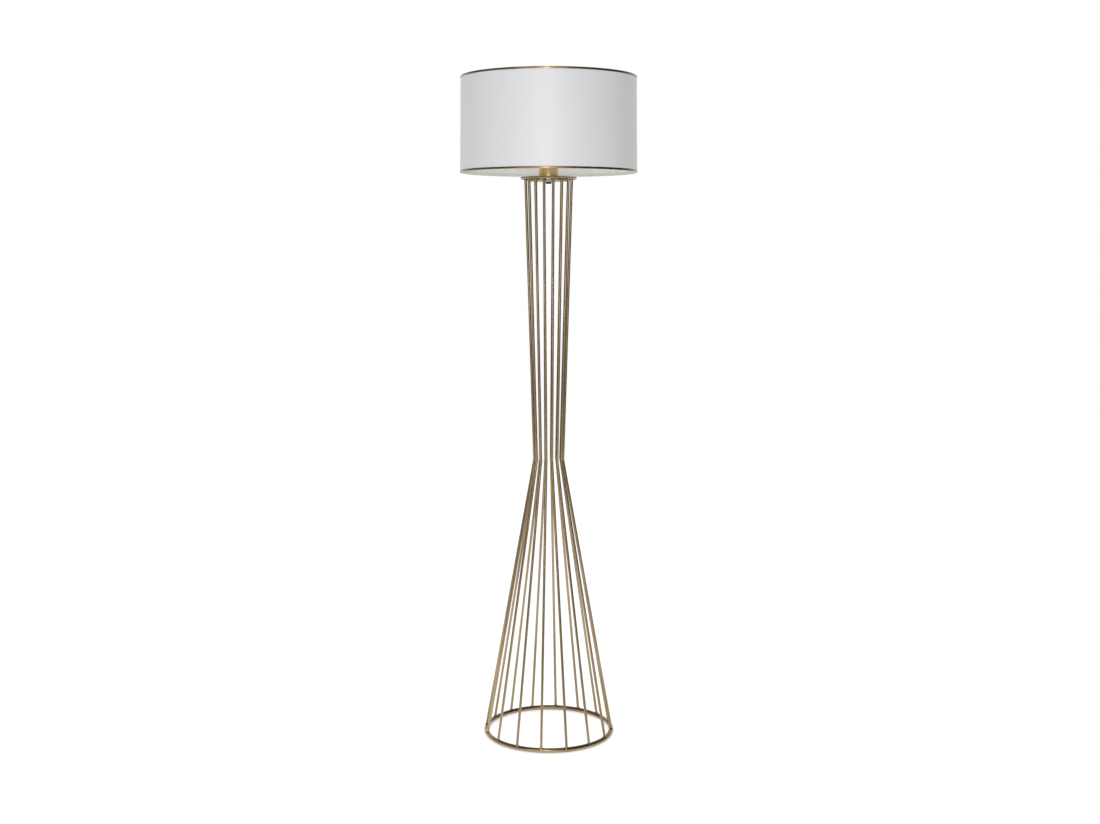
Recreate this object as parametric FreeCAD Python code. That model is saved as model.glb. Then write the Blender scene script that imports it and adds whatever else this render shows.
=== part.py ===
"""Wire cage floor lamp: a waisted cage of bent rods between a base ring and a top cap,
with a lampholder on the cap and a drum shade clamped on the lampholder.

Millimetres, +Z up. The origin is on the floor, on the lamp's axis; the front faces -Y.
"""
import FreeCAD, Part
import math
import os

Vector = FreeCAD.Vector
ORIGIN = Vector(0, 0, 0)
UP = Vector(0, 0, 1)

# ---- driving dimensions ----------------------------------------------------------

# Base ring and the pads that it stands on
BASE_BAR_D = 11.0
BASE_RING_R = 147.3         # centreline of the bar
PAD_COUNT = 4
PAD_D = 9.0
PAD_LIFT = 1.2              # the pads hold the ring this far off the floor
PAD_H = 3.2                 # a saddle: its top wraps the underside of the bar
PAD_FIRST_TURN = 45.0

# Cage rods, each bent once at the waist; the turns give the cage its slight twist
ROD_COUNT = 16
ROD_D = 6.0
ROD_FOOT_R = 148.2
ROD_WAIST_R = 33.6
ROD_TOP_R = 53.2
WAIST_Z = 650.4
WAIST_BEND_R = 14.0
ROD_FOOT_TURN = 15.9        # degrees from the front, counted towards +X
ROD_WAIST_TURN = 13.0
ROD_TOP_TURN = 11.25
FOOT_COPE = 3.0             # the rod runs this far into the bar before it is coped

# Top cap: a pressed disc with a half-round rim
CAP_TOP_Z = 1296.0
CAP_RIM_H = 5.0
CAP_OUTER_R = 64.0
CAP_SHEET = 2.0

# Threaded nipple through the cap, with its washer, nut and cord bushing below
NIPPLE_R = 5.0
NIPPLE_BORE_R = 4.0
NIPPLE_BELOW = 12.0         # below the cap's top face
NIPPLE_ABOVE = 7.0
NIPPLE_PLAY = 0.1
WASHER_R = 10.0
WASHER_T = 1.2
NUT_ACROSS_FLATS = 14.0
NUT_T = 4.8
BUSHING_BORE_R = 3.35
BUSHING_SLEEVE_L = 6.0
BUSHING_FLANGE_R = 6.5
BUSHING_FLANGE_T = 3.0
BUSHING_EDGE = 0.8

# Shallow dished cover over the nut, held up to the cap by the bushing's flange
COVER_R = 49.0
COVER_WALL = 0.8
COVER_CORNER_R = 5.5
COVER_RISE = 2.0            # from the hole out to the corner

# Metal cup that hides the lower half of the lampholder
CUP_R = 22.0
CUP_H = 34.0
CUP_WALL = 1.0
CUP_BEAD = 0.7              # the bead round the foot stands out this far
CUP_LIP = 0.4

# Lampholder for a 27 mm screw lamp: cap, contact carrier, barrel and screw shell
HOLDER_CAP_R = 19.5
HOLDER_CAP_H = 21.0
HOLDER_CAP_FLOOR = 3.0
HOLDER_CAP_INNER_R = 17.5
HOLDER_LEDGE_R = 15.5
CARRIER_ABOVE_FLOOR = 9.0
CARRIER_R = 17.4
CARRIER_T = 6.0
BARREL_R = 19.9
BARREL_H = 38.0
BARREL_MOUTH_R = 14.6
BARREL_MOUTH_H = 4.0
BARREL_SPIGOT_R = 17.4
BARREL_SPIGOT_BORE_R = 14.5
BARREL_SHOULDER = 2.0
BARREL_EDGE = 0.8
SHELL_BORE_R = 13.3
SHELL_WALL = 0.5
SHELL_L = 30.0

# Contacts: a leaf that bends at its root, the foot that holds it, and the shell's strip
LEAF_ROOT_X = -8.8
LEAF_TIP_X = 4.5
LEAF_W = 6.0
LEAF_T = 0.5
LEAF_ROOT_R = 0.6
LEAF_HEIGHT = 4.4           # root's axis above the contact carrier
LEAF_GAP = 0.3              # between the root and the foot below it
BUTTON_R = 2.6
BUTTON_H = 1.3
FOOT_L = 4.0
STRIP_X = 12.9
STRIP_W = 5.0
TERMINAL_X = 8.5
TERMINAL_SIZE = 6.0
TERMINAL_H = 6.5
SCREW_SHANK_R = 1.5
SCREW_HEAD_R = 2.7
SCREW_HEAD_H = 1.8
SCREW_L = 4.6
SCREW_SLOT_W = 0.7

# Shade rings on the barrel's thread, below and above the shade's carrier ring
RING_PLAY = 0.1             # radial play of a ring on the barrel
RING_FLANGE_R = 28.5
RING_FLANGE_T = 1.8
RING_HUB_R = 23.2
RING_H = 7.0
RING_NOTCHES = 12
RING_NOTCH_R = 1.6
SEAT_Z = 1337.0             # top face of the support ring
SEAT_GAP = 0.3              # between parts that turn on each other

# Shade carrier: a flat ring on three bent wire arms
CARRIER_RING_BORE_R = 20.6
CARRIER_RING_R = 31.5
CARRIER_RING_T = 2.0
ARM_COUNT = 3
ARM_WIRE_D = 4.0
ARM_BEND_R = 9.0
ARM_FIRST_TURN = 180.0      # one arm runs straight back
TOP_WIRE_D = 3.0
ARM_LEG_GAP = 1.0           # the legs stand this far inside the bottom wire's line
GLUE = 0.05                 # wire to liner

# Drum shade: fabric laminated on a stiff liner, with a metallic edge tape
SHADE_BOTTOM_Z = 1305.6
SHADE_TOP_Z = 1517.2
SHADE_BOTTOM_R = 200.0      # outside of the tape
SHADE_TOP_R = 197.5
FABRIC_T = 0.7
LINER_T = 0.8
TAPE_T = 0.5
TAPE_H = 4.5

# ---- sizes that follow from them ---------------------------------------------------

base_ring_z = PAD_LIFT + BASE_BAR_D / 2
cap_under_z = CAP_TOP_Z - CAP_SHEET
nipple_bottom_z = CAP_TOP_Z - NIPPLE_BELOW
holder_z = CAP_TOP_Z + CUP_WALL
nipple_top_z = holder_z + NIPPLE_ABOVE
holder_cap_top_z = holder_z + HOLDER_CAP_H
contact_carrier_z = holder_z + HOLDER_CAP_FLOOR + CARRIER_ABOVE_FLOOR
contact_deck_z = contact_carrier_z + CARRIER_T
barrel_top_z = holder_cap_top_z + BARREL_H
shell_top_z = barrel_top_z - BARREL_MOUTH_H
shell_bottom_z = shell_top_z - SHELL_L
shell_outer_r = SHELL_BORE_R + SHELL_WALL
carrier_ring_z = SEAT_Z + SEAT_GAP
retaining_ring_z = carrier_ring_z + CARRIER_RING_T + SEAT_GAP
arm_z = carrier_ring_z + CARRIER_RING_T / 2
wall_t = FABRIC_T + LINER_T
wall_bottom_z = SHADE_BOTTOM_Z + TAPE_T
wall_top_z = SHADE_TOP_Z - TAPE_T


def wall_r(z, depth=0.0):
    """Radius of the shade's wall at a height, at a depth inside the fabric's outer face."""
    share = (z - SHADE_BOTTOM_Z) / (SHADE_TOP_Z - SHADE_BOTTOM_Z)
    outside = SHADE_BOTTOM_R + (SHADE_TOP_R - SHADE_BOTTOM_R) * share
    return outside - TAPE_T - depth


# ---- tools -------------------------------------------------------------------------

os.makedirs("parts", exist_ok=True)


def save(shape, node):
    """Write one sub-part."""
    if not shape.isValid() or not shape.Solids:
        raise ValueError(node + " is not a sound solid")
    shape.exportStep("parts/" + node + ".step")
    return shape


def polar(radius, turn, z):
    """Point at a radius and height, turned from the front (-Y) towards +X."""
    angle = math.radians(turn)
    return Vector(radius * math.sin(angle), -radius * math.cos(angle), z)


def turned(*steps):
    """Revolve a closed outline about the axis.

    A step is a corner (r, z), or an arc to a corner given as ((r, z) on the arc, (r, z) end).
    """
    edges = []
    here = Vector(steps[0][0], 0, steps[0][1])
    for step in steps[1:] + steps[:1]:
        if isinstance(step[0], tuple):
            through = Vector(step[0][0], 0, step[0][1])
            there = Vector(step[1][0], 0, step[1][1])
            edges.append(Part.Arc(here, through, there).toShape())
        else:
            there = Vector(step[0], 0, step[1])
            edges.append(Part.makeLine(here, there))
        here = there
    return Part.Face(Part.Wire(edges)).revolve(ORIGIN, UP, 360)


def tube(inner_r, outer_r, low_z, high_z):
    """Plain ring between two radii and two heights."""
    return turned((inner_r, low_z), (outer_r, low_z), (outer_r, high_z), (inner_r, high_z))


def bent_bar(points, bend_r, diameter):
    """Round bar along straight runs, with an arc of one radius at each inner point."""
    edges = []
    here = points[0]
    for corner, beyond in zip(points[1:], points[2:]):
        back = (here - corner).normalize()
        on = (beyond - corner).normalize()
        half_turn = (math.pi - back.getAngle(on)) / 2
        run_in = bend_r * math.tan(half_turn)
        towards_centre = (back + on).normalize()
        rise = bend_r / math.cos(half_turn) - bend_r
        start = corner + back * run_in
        middle = corner + towards_centre * rise
        end = corner + on * run_in
        edges.append(Part.makeLine(here, start))
        edges.append(Part.Arc(start, middle, end).toShape())
        here = end
    edges.append(Part.makeLine(here, points[-1]))
    first_run = (points[1] - points[0]).normalize()
    section = Part.Face(Part.Wire(Part.makeCircle(diameter / 2, points[0], first_run)))
    return Part.Wire(edges).makePipe(section)


def around(shape, count, first_turn=0.0):
    """Copies of a shape at equal turns about the axis."""
    copies = []
    for index in range(count):
        copy = shape.copy()
        copy.rotate(ORIGIN, UP, first_turn + index * 360.0 / count)
        copies.append(copy)
    return copies


def block(x, y, z, length, width, height):
    """Box centred on x and y, standing on z."""
    return Part.makeBox(length, width, height, Vector(x - length / 2, y - width / 2, z))


# ---- stand ---------------------------------------------------------------------------


def make_base_ring():
    return Part.makeTorus(BASE_RING_R, BASE_BAR_D / 2, Vector(0, 0, base_ring_z), UP)


def make_pads(base_ring):
    """Clear saddle pads under the bar, each with a flat face on the floor."""
    pad = Part.makeCylinder(PAD_D / 2, PAD_H, Vector(0, -BASE_RING_R, 0), UP).cut(base_ring)
    return around(pad, PAD_COUNT, PAD_FIRST_TURN)


def make_rods(base_ring):
    """Bent rods, coped over the bar below and cut level under the cap above."""
    foot = polar(ROD_FOOT_R, ROD_FOOT_TURN, base_ring_z + BASE_BAR_D / 2)
    waist = polar(ROD_WAIST_R, ROD_WAIST_TURN, WAIST_Z)
    top = polar(ROD_TOP_R, ROD_TOP_TURN, CAP_TOP_Z)
    foot = foot + (foot - waist).normalize() * FOOT_COPE
    rod = bent_bar([foot, waist, top], WAIST_BEND_R, ROD_D)
    over_cap = tube(0, CAP_OUTER_R, cap_under_z, CAP_TOP_Z + ROD_D)
    return around(rod.cut(base_ring).cut(over_cap), ROD_COUNT)


def make_top_cap():
    """Disc whose rim is half round outside and goes straight down inside."""
    rim_r = CAP_RIM_H / 2
    rim_inner_r = CAP_OUTER_R - rim_r
    return turned(
        (NIPPLE_R + NIPPLE_PLAY, CAP_TOP_Z),
        (rim_inner_r, CAP_TOP_Z),
        ((CAP_OUTER_R, CAP_TOP_Z - rim_r), (rim_inner_r, CAP_TOP_Z - CAP_RIM_H)),
        (rim_inner_r, cap_under_z),
        (NIPPLE_R + NIPPLE_PLAY, cap_under_z),
    )


def make_nut(washer_bottom_z):
    corner_r = NUT_ACROSS_FLATS / 2 / math.cos(math.pi / 6)
    corners = [polar(corner_r, turn, washer_bottom_z - NUT_T) for turn in range(0, 361, 60)]
    hexagon = Part.Face(Part.makePolygon(corners)).extrude(Vector(0, 0, NUT_T))
    return hexagon.cut(tube(0, NIPPLE_R, washer_bottom_z - NUT_T, washer_bottom_z))


def make_bushing():
    """Sleeve inside the nipple with a bevelled flange over its end, for the cord."""
    flange_z = nipple_bottom_z - BUSHING_FLANGE_T
    return turned(
        (BUSHING_BORE_R, flange_z),
        (BUSHING_FLANGE_R - BUSHING_EDGE, flange_z),
        (BUSHING_FLANGE_R, flange_z + BUSHING_EDGE),
        (BUSHING_FLANGE_R, nipple_bottom_z),
        (NIPPLE_BORE_R, nipple_bottom_z),
        (NIPPLE_BORE_R, nipple_bottom_z + BUSHING_SLEEVE_L),
        (BUSHING_BORE_R, nipple_bottom_z + BUSHING_SLEEVE_L),
    )


def make_nut_cover():
    """Dish with a slightly domed face, a round corner and an edge against the cap."""
    inner_r = COVER_R - COVER_WALL
    inner_corner_r = COVER_CORNER_R - COVER_WALL
    face_z = nipple_bottom_z + COVER_RISE
    corner_at = (COVER_R - COVER_CORNER_R, face_z + COVER_CORNER_R)

    def on_corner(radius, turn):
        angle = math.radians(turn)
        return (corner_at[0] + radius * math.sin(angle), corner_at[1] - radius * math.cos(angle))

    return turned(
        (NIPPLE_R + NIPPLE_PLAY, nipple_bottom_z),
        on_corner(COVER_CORNER_R, 0),
        (on_corner(COVER_CORNER_R, 45), on_corner(COVER_CORNER_R, 90)),
        (COVER_R, cap_under_z),
        (inner_r, cap_under_z),
        on_corner(inner_corner_r, 90),
        (on_corner(inner_corner_r, 45), on_corner(inner_corner_r, 0)),
        (NIPPLE_R + NIPPLE_PLAY, nipple_bottom_z + COVER_WALL),
    )


def make_cup():
    """Open cup with a pointed bead round its foot and a lip to match."""
    rim_z = CAP_TOP_Z + CUP_H
    bead_z = CAP_TOP_Z + CUP_BEAD
    return turned(
        (NIPPLE_R + NIPPLE_PLAY, CAP_TOP_Z),
        (CUP_R, CAP_TOP_Z),
        (CUP_R + CUP_BEAD, bead_z),
        (CUP_R, bead_z + CUP_BEAD),
        (CUP_R, rim_z - 2 * CUP_LIP),
        (CUP_R + CUP_LIP, rim_z - CUP_LIP),
        (CUP_R, rim_z),
        (CUP_R - CUP_WALL, rim_z),
        (CUP_R - CUP_WALL, holder_z),
        (NIPPLE_R + NIPPLE_PLAY, holder_z),
    )


# ---- lampholder ------------------------------------------------------------------------


def make_holder_cap():
    """Moulded cap: the nipple screws into its floor, the contact carrier sits on its ledge."""
    floor_z = holder_z + HOLDER_CAP_FLOOR
    return turned(
        (NIPPLE_R, holder_z),
        (HOLDER_CAP_R, holder_z),
        (HOLDER_CAP_R, holder_cap_top_z),
        (HOLDER_CAP_INNER_R, holder_cap_top_z),
        (HOLDER_CAP_INNER_R, contact_carrier_z),
        (HOLDER_LEDGE_R, contact_carrier_z),
        (HOLDER_LEDGE_R, floor_z),
        (NIPPLE_R, floor_z),
    )


def make_barrel():
    """Barrel with a spigot into the cap, a seat for the screw shell and an open mouth."""
    shoulder_z = shell_bottom_z - BARREL_SHOULDER
    return turned(
        (BARREL_SPIGOT_BORE_R, contact_deck_z),
        (BARREL_SPIGOT_R, contact_deck_z),
        (BARREL_SPIGOT_R, holder_cap_top_z),
        (BARREL_R, holder_cap_top_z),
        (BARREL_R, barrel_top_z - BARREL_EDGE),
        (BARREL_R - BARREL_EDGE, barrel_top_z),
        (BARREL_MOUTH_R, barrel_top_z),
        (BARREL_MOUTH_R, shell_top_z),
        (shell_outer_r, shell_top_z),
        (shell_outer_r, shoulder_z),
        (BARREL_SPIGOT_BORE_R, shoulder_z),
    )


def make_terminal_screws():
    """Two slotted cheese-head screws, up into the terminal blocks from below."""
    head_z = contact_carrier_z - TERMINAL_H - SCREW_HEAD_H
    shank_z = head_z + SCREW_HEAD_H
    screws = []
    for x in (-TERMINAL_X, TERMINAL_X):
        head = Part.makeCylinder(SCREW_HEAD_R, SCREW_HEAD_H, Vector(x, 0, head_z), UP)
        slot = block(x, 0, head_z, SCREW_SLOT_W, 2 * SCREW_HEAD_R, SCREW_HEAD_H / 2)
        shank = Part.makeCylinder(SCREW_SHANK_R, SCREW_L, Vector(x, 0, shank_z), UP)
        screws.append(head.fuse(shank).cut(slot).removeSplitter())
    return Part.makeCompound(screws)


def make_terminal(x, screws):
    """Brass block under the contact carrier, tapped for its screw."""
    z = contact_carrier_z - TERMINAL_H
    return block(x, 0, z, TERMINAL_SIZE, TERMINAL_SIZE, TERMINAL_H).cut(screws)


def make_contact_foot():
    """Angle on the carrier's deck that holds the root of the leaf."""
    upright_x = LEAF_ROOT_X
    upright_h = LEAF_HEIGHT - LEAF_ROOT_R - LEAF_GAP
    plate = block(upright_x - FOOT_L / 2, 0, contact_deck_z, FOOT_L + LEAF_T, LEAF_W, LEAF_T)
    upright = block(upright_x, 0, contact_deck_z, LEAF_T, LEAF_W, upright_h)
    return plate.fuse(upright).removeSplitter()


def make_centre_contact():
    """Leaf with a rolled root and a domed button on the axis."""
    root_z = contact_deck_z + LEAF_HEIGHT
    root_at = Vector(LEAF_ROOT_X, -LEAF_W / 2, root_z)
    root = Part.makeCylinder(LEAF_ROOT_R, LEAF_W, root_at, Vector(0, 1, 0))
    length = LEAF_TIP_X - LEAF_ROOT_X
    leaf = block(LEAF_ROOT_X + length / 2, 0, root_z - LEAF_T / 2, length, LEAF_W, LEAF_T)
    button_z = root_z + LEAF_T / 2
    dome_r = (BUTTON_R ** 2 + BUTTON_H ** 2) / (2 * BUTTON_H)
    dome = Part.makeSphere(dome_r, Vector(0, 0, button_z + BUTTON_H - dome_r))
    button = dome.common(block(0, 0, button_z, 2 * dome_r, 2 * dome_r, dome_r))
    return root.fuse([leaf, button]).removeSplitter()


def make_shell_strip():
    """Angle strip from the carrier's deck up to the screw shell."""
    height = shell_bottom_z - contact_deck_z
    foot_x = STRIP_X - FOOT_L / 2
    plate = block(foot_x, 0, contact_deck_z, FOOT_L + LEAF_T, STRIP_W, LEAF_T)
    upright = block(STRIP_X, 0, contact_deck_z, LEAF_T, STRIP_W, height)
    return plate.fuse(upright).removeSplitter()


def make_shade_ring(flange_z, flange_on_top):
    """Threaded ring with a wide flange on the shade's side and grip notches in its edge."""
    bore_r = BARREL_R + RING_PLAY
    far_z = flange_z - RING_FLANGE_T if flange_on_top else flange_z + RING_FLANGE_T
    hub_z = flange_z - RING_H if flange_on_top else flange_z + RING_H
    ring = turned(
        (bore_r, flange_z),
        (RING_FLANGE_R, flange_z),
        (RING_FLANGE_R, far_z),
        (RING_HUB_R, far_z),
        (RING_HUB_R, hub_z),
        (bore_r, hub_z),
    )
    low_z = min(flange_z, far_z)
    notch_at = Vector(0, -RING_FLANGE_R - RING_NOTCH_R / 2, low_z)
    notch = Part.makeCylinder(RING_NOTCH_R, RING_FLANGE_T, notch_at, UP)
    return ring.cut(around(notch, RING_NOTCHES))


# ---- shade -------------------------------------------------------------------------------


def make_wall(outer_depth, inner_depth):
    """One layer of the shade's slightly tapered wall."""
    return turned(
        (wall_r(wall_bottom_z, inner_depth), wall_bottom_z),
        (wall_r(wall_bottom_z, outer_depth), wall_bottom_z),
        (wall_r(wall_top_z, outer_depth), wall_top_z),
        (wall_r(wall_top_z, inner_depth), wall_top_z),
    )


def make_tape(edge_z, inward):
    """Edge tape: a band on the outside that folds over the wall's end."""
    wall_z = edge_z + inward * TAPE_T
    band_z = edge_z + inward * TAPE_H
    return turned(
        (wall_r(edge_z, wall_t), edge_z),
        (wall_r(edge_z, -TAPE_T), edge_z),
        (wall_r(band_z, -TAPE_T), band_z),
        (wall_r(band_z), band_z),
        (wall_r(wall_z), wall_z),
        (wall_r(wall_z, wall_t), wall_z),
    )


def wire_ring_r(z, diameter):
    """Centreline radius of a wire ring that lies against the liner."""
    return wall_r(z, wall_t) - diameter / 2 - GLUE


def make_wire_ring(z, diameter):
    return Part.makeTorus(wire_ring_r(z, diameter), diameter / 2, Vector(0, 0, z), UP)


def make_arms(bottom_wire, bottom_wire_z):
    """Wire arms from the carrier ring out to the wall and down to the bottom wire."""
    leg_r = wire_ring_r(bottom_wire_z, ARM_WIRE_D) - ARM_LEG_GAP
    inner = polar(CARRIER_RING_R - ARM_WIRE_D / 2, 0, arm_z)
    corner = polar(leg_r, 0, arm_z)
    lower = polar(leg_r, 0, bottom_wire_z)
    arm = bent_bar([inner, corner, lower], ARM_BEND_R, ARM_WIRE_D)
    hub = tube(0, CARRIER_RING_R, arm_z - ARM_WIRE_D, arm_z + ARM_WIRE_D)
    return around(arm.cut(hub).cut(bottom_wire), ARM_COUNT, ARM_FIRST_TURN)


# ---- build -------------------------------------------------------------------------------


def build_stand():
    base_ring = save(make_base_ring(), "base_ring")
    for number, pad in enumerate(make_pads(base_ring), 1):
        save(pad, f"foot_pad_{number}")
    for number, rod in enumerate(make_rods(base_ring), 1):
        save(rod, f"cage_rod_{number:02d}")
    save(make_top_cap(), "top_cap")
    washer_bottom_z = cap_under_z - WASHER_T
    save(tube(NIPPLE_BORE_R, NIPPLE_R, nipple_bottom_z, nipple_top_z), "threaded_nipple")
    save(tube(NIPPLE_R + NIPPLE_PLAY, WASHER_R, washer_bottom_z, cap_under_z), "washer")
    save(make_nut(washer_bottom_z), "lock_nut")
    save(make_bushing(), "cord_bushing")
    save(make_nut_cover(), "nut_cover")
    save(make_cup(), "lampholder_cup")


def build_lampholder():
    save(make_holder_cap(), "lampholder_cap")
    save(tube(0, CARRIER_R, contact_carrier_z, contact_deck_z), "contact_carrier")
    save(make_barrel(), "lampholder_barrel")
    save(tube(SHELL_BORE_R, shell_outer_r, shell_bottom_z, shell_top_z), "screw_shell")
    screws = save(make_terminal_screws(), "terminal_screws")
    save(make_terminal(-TERMINAL_X, screws), "live_terminal")
    save(make_terminal(TERMINAL_X, screws), "neutral_terminal")
    save(make_contact_foot(), "contact_foot")
    save(make_centre_contact(), "centre_contact")
    save(make_shell_strip(), "shell_strip")
    save(make_shade_ring(SEAT_Z, True), "support_ring")
    save(make_shade_ring(retaining_ring_z, False), "retaining_ring")


def build_shade():
    carrier_top_z = carrier_ring_z + CARRIER_RING_T
    save(tube(CARRIER_RING_BORE_R, CARRIER_RING_R, carrier_ring_z, carrier_top_z), "carrier_ring")
    bottom_wire_z = wall_bottom_z + ARM_WIRE_D / 2
    bottom_wire = save(make_wire_ring(bottom_wire_z, ARM_WIRE_D), "shade_bottom_wire")
    for number, arm in enumerate(make_arms(bottom_wire, bottom_wire_z), 1):
        save(arm, f"shade_arm_{number}")
    save(make_wire_ring(wall_top_z - TOP_WIRE_D / 2, TOP_WIRE_D), "shade_top_wire")
    save(make_wall(0, FABRIC_T), "shade_fabric")
    save(make_wall(FABRIC_T, wall_t), "shade_liner")
    save(make_tape(SHADE_BOTTOM_Z, 1), "bottom_edge_tape")
    save(make_tape(SHADE_TOP_Z, -1), "top_edge_tape")


build_stand()
build_lampholder()
build_shade()
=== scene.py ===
"""Wire cage floor lamp: the pieces and finishes that show, built round its solid model.

Laid out as an add-on: an operator for each group of pieces and one for the stage, with
their sizes and colours in property groups and a panel that lists them.
Metres, +Z up, the lamp's axis on Z and its front towards -Y.
"""
import math

import bmesh
import bpy
from bpy.props import FloatProperty, FloatVectorProperty, IntProperty, PointerProperty
from mathutils import Matrix, Vector, noise


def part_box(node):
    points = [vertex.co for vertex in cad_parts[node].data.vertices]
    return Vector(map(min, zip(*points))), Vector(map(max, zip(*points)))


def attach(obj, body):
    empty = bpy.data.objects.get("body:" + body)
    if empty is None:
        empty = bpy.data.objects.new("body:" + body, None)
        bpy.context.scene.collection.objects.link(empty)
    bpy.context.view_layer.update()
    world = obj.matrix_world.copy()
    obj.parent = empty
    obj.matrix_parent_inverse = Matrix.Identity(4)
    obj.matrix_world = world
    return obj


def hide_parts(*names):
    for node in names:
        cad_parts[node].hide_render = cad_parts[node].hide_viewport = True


bl_info = {
    "name": "Wire Cage Floor Lamp",
    "version": (1, 0, 0),
    "blender": (4, 5, 0),
    "location": "3D View > Sidebar > Floor Lamp",
    "description": "Pieces and finishes of a floor lamp with a wire cage and a drum shade",
    "category": "Object",
}

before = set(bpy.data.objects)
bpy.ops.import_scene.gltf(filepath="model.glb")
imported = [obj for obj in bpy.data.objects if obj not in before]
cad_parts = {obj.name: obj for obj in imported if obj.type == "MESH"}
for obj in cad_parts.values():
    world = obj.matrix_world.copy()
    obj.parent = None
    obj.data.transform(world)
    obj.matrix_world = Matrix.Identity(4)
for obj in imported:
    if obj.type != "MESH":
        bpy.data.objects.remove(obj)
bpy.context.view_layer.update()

UP = Vector((0, 0, 1))
ORIGIN = Vector((0, 0, 0))
MERGE = 1e-6
SHARP = math.radians(38)
FLAT = math.radians(1)
SHADE_ARMS = 3

# ---- sizes and colours -------------------------------------------------------------------


def length(name, description, default):
    return FloatProperty(name=name, description=description, default=default, unit="LENGTH",
                         min=0.0, precision=5)


def angle(name, description, degrees):
    return FloatProperty(name=name, description=description, default=math.radians(degrees),
                         subtype="ANGLE")


def colour(name, description, default):
    return FloatVectorProperty(name=name, description=description, default=default, size=4,
                               subtype="COLOR", min=0.0, max=1.0)


class CageSizes(bpy.types.PropertyGroup):
    """Rods of the cage, from their feet on the base ring to the cap."""

    rod_count: IntProperty(name="Rods", description="Rods round the cage", default=16, min=3)
    rod_diameter: length("Rod", "Diameter of a rod", 0.006)
    foot_radius: length("Foot radius", "From the axis to a rod's foot", 0.1482)
    waist_radius: length("Waist radius", "From the axis to a rod at the waist", 0.0336)
    top_radius: length("Top radius", "From the axis to a rod's top", 0.0532)
    waist_height: length("Waist height", "From the floor to the bends", 0.6504)
    bend_radius: length("Bend radius", "Radius of a rod's bend, on its centreline", 0.014)
    foot_turn: angle("Foot turn", "Turn of the first rod's foot from the front", 15.9)
    waist_turn: angle("Waist turn", "Turn of the first rod's bend from the front", 13.0)
    top_turn: angle("Top turn", "Turn of the first rod's top from the front", 11.25)
    weld_leg: length("Weld", "How far a weld bead spreads from its rod", 0.0019)


class HolderSizes(bpy.types.PropertyGroup):
    """Sheet parts, threads and edges round the lampholder."""

    cap_sheet: length("Cap sheet", "Thickness of the top cap's sheet", 0.002)
    cup_sheet: length("Cup sheet", "Thickness of the cup's sheet", 0.001)
    cup_bead: length("Cup bead", "Radius of the bead round the cup's foot", 0.0007)
    cup_lip: length("Cup lip", "Radius of the cup's rolled lip", 0.0004)
    nipple_bore: length("Nipple bore", "Radius of the nipple's bore", 0.004)
    nipple_pitch: length("Nipple pitch", "Pitch of the nipple's thread", 0.001)
    barrel_pitch: length("Barrel pitch", "Pitch of the barrel's outer thread", 0.002)
    barrel_depth: length("Barrel thread", "Depth of the barrel's outer thread", 0.0006)
    shell_pitch: length("Shell pitch", "Pitch of the screw shell's rolled thread", 0.0036)
    shell_depth: length("Shell thread", "Depth of the screw shell's rolled thread", 0.0005)
    edge: length("Edge", "Width of the broken edges of small parts", 0.0003)


class ShadeSizes(bpy.types.PropertyGroup):
    """Cover, lining and tapes of the drum shade."""

    fabric: length("Fabric", "Thickness of the cover", 0.0007)
    lining: length("Lining", "Thickness of the stiff lining", 0.0008)
    tape: length("Tape", "Thickness of the edge tape", 0.0005)
    tape_height: length("Tape height", "Height of the edge tape on the outside", 0.0045)
    lap: length("Lap", "Width of the cover's lap at the back", 0.012)
    lap_rise: length("Lap rise", "How far the lap stands proud of the cover", 0.0003)
    pucker: length("Pucker", "Depth of the tape's small puckers", 0.00012)


class LampColours(bpy.types.PropertyGroup):
    """Colours of the finishes, as linear values."""

    gold: colour("Gold", "Gold lacquer of the cage", (0.43, 0.335, 0.205, 1))
    gold_low: colour("Gold, worn", "Browner patches of the lacquer", (0.30, 0.225, 0.130, 1))
    cup: colour("Cup", "Polished cup", (0.74, 0.53, 0.26, 1))
    tape: colour("Tape", "Metallic edge tape", (0.34, 0.235, 0.115, 1))
    cloth: colour("Cloth", "Cover of the shade", (0.80, 0.805, 0.815, 1))
    lining: colour("Lining", "Lining of the shade", (0.92, 0.915, 0.87, 1))
    zinc: colour("Zinc", "Plated nipple, nut and washer", (0.52, 0.53, 0.55, 1))
    brass: colour("Contact brass", "Contacts and screw shell", (0.72, 0.53, 0.26, 1))
    black: colour("Black", "Cord bushing", (0.018, 0.018, 0.019, 1))
    moulding: colour("Moulding", "White moulding of the lampholder", (0.74, 0.73, 0.70, 1))
    ceramic: colour("Ceramic", "Contact carrier", (0.78, 0.76, 0.71, 1))
    wire: colour("White wire", "Powder coat of the shade's frame", (0.76, 0.76, 0.75, 1))
    pad: colour("Pad", "Clear pads under the ring", (0.86, 0.88, 0.88, 1))
    floor: colour("Floor", "Studio floor", (0.86, 0.86, 0.86, 1))


class StageSettings(bpy.types.PropertyGroup):
    """Camera and light."""

    camera_distance: length("Camera distance", "In front of the lamp's axis", 3.168)
    camera_height: length("Camera height", "Above the floor", 1.150)
    camera_shift_x: FloatProperty(name="Camera side", description="To the right of the axis",
                                  default=0.003, unit="LENGTH")
    camera_tilt: angle("Camera tilt", "Angle between the view and straight down", 83.01)
    lens: FloatProperty(name="Lens", description="Focal length in millimetres", default=45.31)
    ambient: FloatProperty(name="Ambient", description="Level of the room's light", default=0.34)
    key_power: FloatProperty(name="Key", description="Power of the key light, in watts",
                             default=12.5, subtype="POWER")
    strip_power: FloatProperty(name="Strip", description="Power of the narrow light, in watts",
                               default=6.0)
    floor_radius: length("Floor radius", "Radius of the studio floor", 4.0)


# ---- mesh tools --------------------------------------------------------------------------


def polar(radius, turn, z):
    """Point at a radius and height, turned from the front towards +X."""
    return Vector((radius * math.sin(turn), -radius * math.cos(turn), z))


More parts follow.
